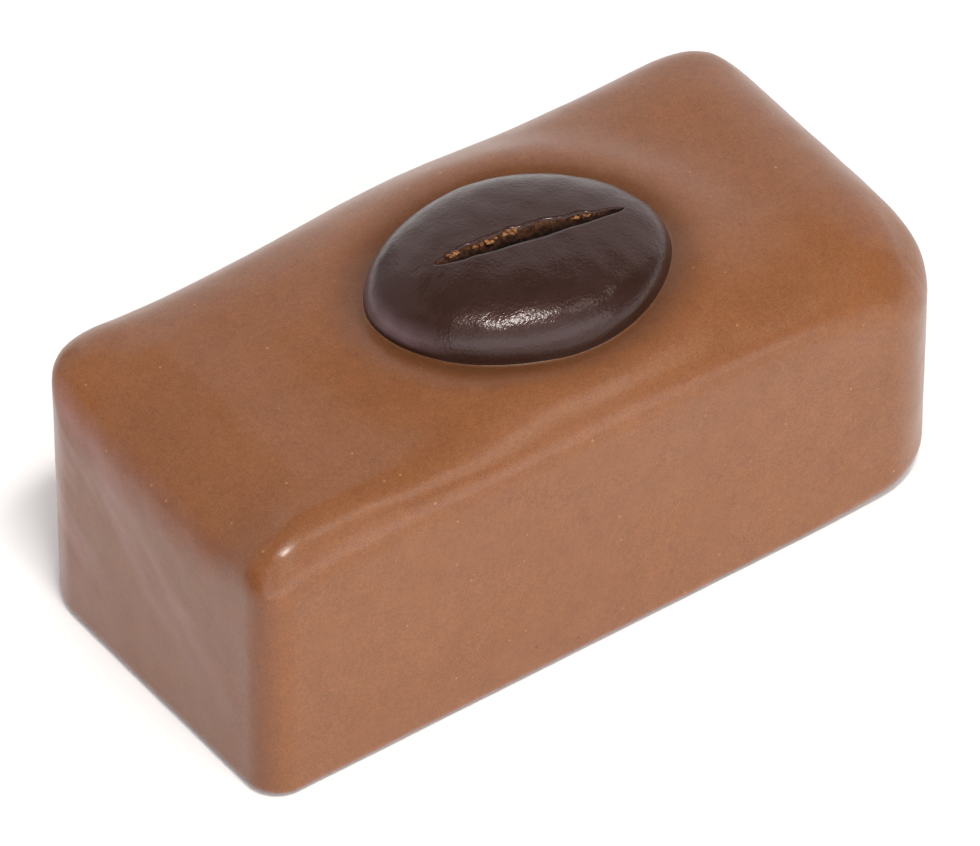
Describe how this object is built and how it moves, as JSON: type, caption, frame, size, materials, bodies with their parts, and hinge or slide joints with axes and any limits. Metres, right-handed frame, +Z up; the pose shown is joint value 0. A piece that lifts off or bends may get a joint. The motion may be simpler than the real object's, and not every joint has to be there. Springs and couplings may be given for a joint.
{
  "type": "coffee praline",
  "caption": "Bar-shaped milk chocolate praline with a moulded dark chocolate coffee bean set into its softly rounded top.",
  "frame": {"origin": "middle of the flat base", "axes": "+X along the bar, +Z up through the bean, the long front side faces -Y"},
  "size_m": [0.0362, 0.0184, 0.0164],
  "materials": {
    "milk_chocolate": "enrobed milk chocolate, satin with a faint bloom",
    "dark_chocolate": "moulded dark chocolate, waxy half gloss"
  },
  "bodies": {
    "root": {"milk_chocolate_block": "milk_chocolate", "dark_chocolate_bean": "dark_chocolate"}
  },
  "joints": []
}
